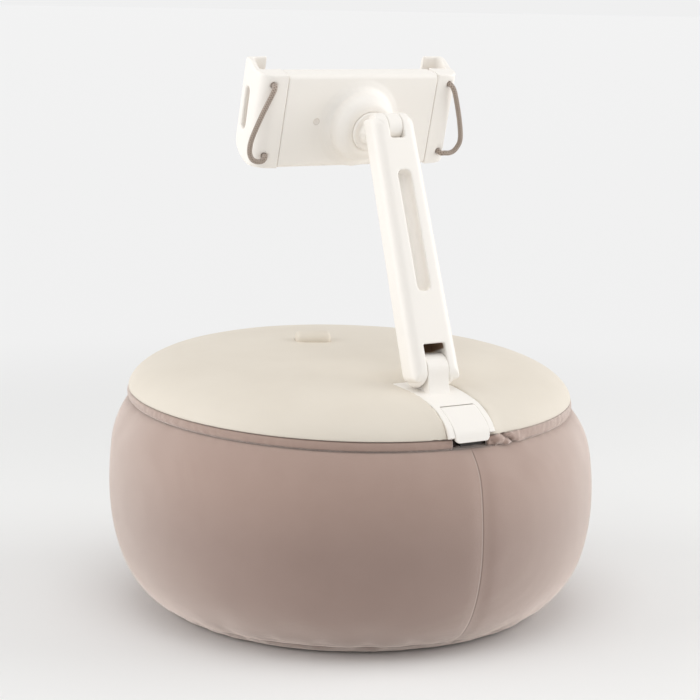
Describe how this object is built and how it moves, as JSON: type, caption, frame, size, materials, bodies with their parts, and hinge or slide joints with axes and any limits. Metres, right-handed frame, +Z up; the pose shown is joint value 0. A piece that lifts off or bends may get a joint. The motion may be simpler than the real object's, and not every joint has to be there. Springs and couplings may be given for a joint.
{
  "type": "tablet cushion stand",
  "caption": "Round bead cushion with a padded lid and a tablet holder with sprung sliding jaws on a hinged arm clipped to the lid's edge.",
  "frame": {"origin": "on the floor under the cushion's centre", "axes": "+Z up; the user sits on the -Y side and the clip is at +Y"},
  "size_m": [0.3666, 0.3666, 0.4084],
  "materials": {
    "white_plastic": "satin moulded plastic",
    "mauve_fabric": "matt stretch knit",
    "cream_leather": "matt synthetic leather",
    "beads": "loose foam beads, hidden",
    "board": "plain fibreboard, hidden",
    "foam": "soft foam, hidden",
    "steel": "plain steel hardware",
    "black_steel": "black painted",
    "nylon": "plain nylon",
    "soft_pad": "matt soft rubber",
    "elastic": "braided elastic"
  },
  "bodies": {
    "cushion": {"cushion_cover": "mauve_fabric", "base_panel": "mauve_fabric", "bead_filling": "beads", "lid_board": "board", "lid_foam": "foam", "lid_cover": "cream_leather", "lid_band": "mauve_fabric", "pull_tab": "cream_leather", "mount_plate": "white_plastic", "mount_screw_1": "steel", "mount_screw_2": "steel", "mount_screw_3": "steel", "latch_pin": "steel", "latch_spring": "steel"},
    "latch": {"release_latch": "white_plastic", "latch_hook": "black_steel"},
    "arm": {"arm": "white_plastic", "lower_hinge_bolt": "steel", "lower_hinge_nut": "steel", "lower_hinge_cap": "white_plastic", "lower_hinge_washer_left": "nylon", "lower_hinge_washer_right": "nylon", "upper_hinge_bolt": "steel", "upper_hinge_nut": "steel", "upper_hinge_cap": "white_plastic", "upper_hinge_washer_left": "nylon", "upper_hinge_washer_right": "nylon"},
    "head": {"swivel_head": "white_plastic", "swivel_screw": "steel", "swivel_washer": "steel"},
    "holder": {"holder_back": "white_plastic", "holder_front": "white_plastic", "holder_screw_1": "steel", "holder_screw_2": "steel", "holder_screw_3": "steel", "holder_screw_4": "steel", "front_pad_left": "soft_pad", "front_pad_right": "soft_pad", "jaw_spring_right": "steel", "jaw_spring_left": "steel"},
    "right_jaw": {"jaw_right": "white_plastic", "jaw_pad_right": "soft_pad", "elastic_cord_right": "elastic"},
    "left_jaw": {"jaw_left": "white_plastic", "jaw_pad_left": "soft_pad", "elastic_cord_left": "elastic"},
    "pinion": {"sync_pinion": "nylon"}
  },
  "joints": [
    {"name": "latch_open", "type": "hinge", "parent": "cushion", "child": "latch", "pos_m": [0, 0.14639, 0.1714], "axis": [1, 0, 0], "range_deg": [0, 12], "stiffness_Nm_per_rad": 0.4, "springref_deg": -20.05},
    {"name": "base_tilt", "type": "hinge", "parent": "cushion", "child": "arm", "pos_m": [0, 0.11132, 0.19593], "axis": [1, 0, 0], "range_deg": [-40, 12]},
    {"name": "head_tilt", "type": "hinge", "parent": "arm", "child": "head", "pos_m": [0, 0.04942, 0.36325], "axis": [1, 0, 0], "range_deg": [-50, 30]},
    {"name": "head_spin", "type": "hinge", "parent": "head", "child": "holder", "pos_m": [0, 0.00653, 0.36274], "axis": [0, 0.9659, -0.2588], "continuous": true},
    {"name": "jaw_slide", "type": "slide", "parent": "holder", "child": "right_jaw", "axis": [1, 0, 0], "range_m": [0, 0.036], "stiffness_N_per_m": 120, "springref_m": -0.03, "deforming": ["jaw_spring_right", "jaw_spring_left"]},
    {"name": "left_jaw_slide", "type": "slide", "parent": "holder", "child": "left_jaw", "axis": [-1, 0, 0], "range_m": [-0.001, 0.037]},
    {"name": "pinion_turn", "type": "hinge", "parent": "holder", "child": "pinion", "pos_m": [0, 0.0071, 0.36486], "axis": [0, 0.9659, -0.2588], "range_deg": [-2, 232]}
  ],
  "couplings": [
    {"joint": "left_jaw_slide", "follows": "jaw_slide", "ratio": 1},
    {"joint": "pinion_turn", "follows": "jaw_slide", "rad_per_m": 111.11}
  ]
}
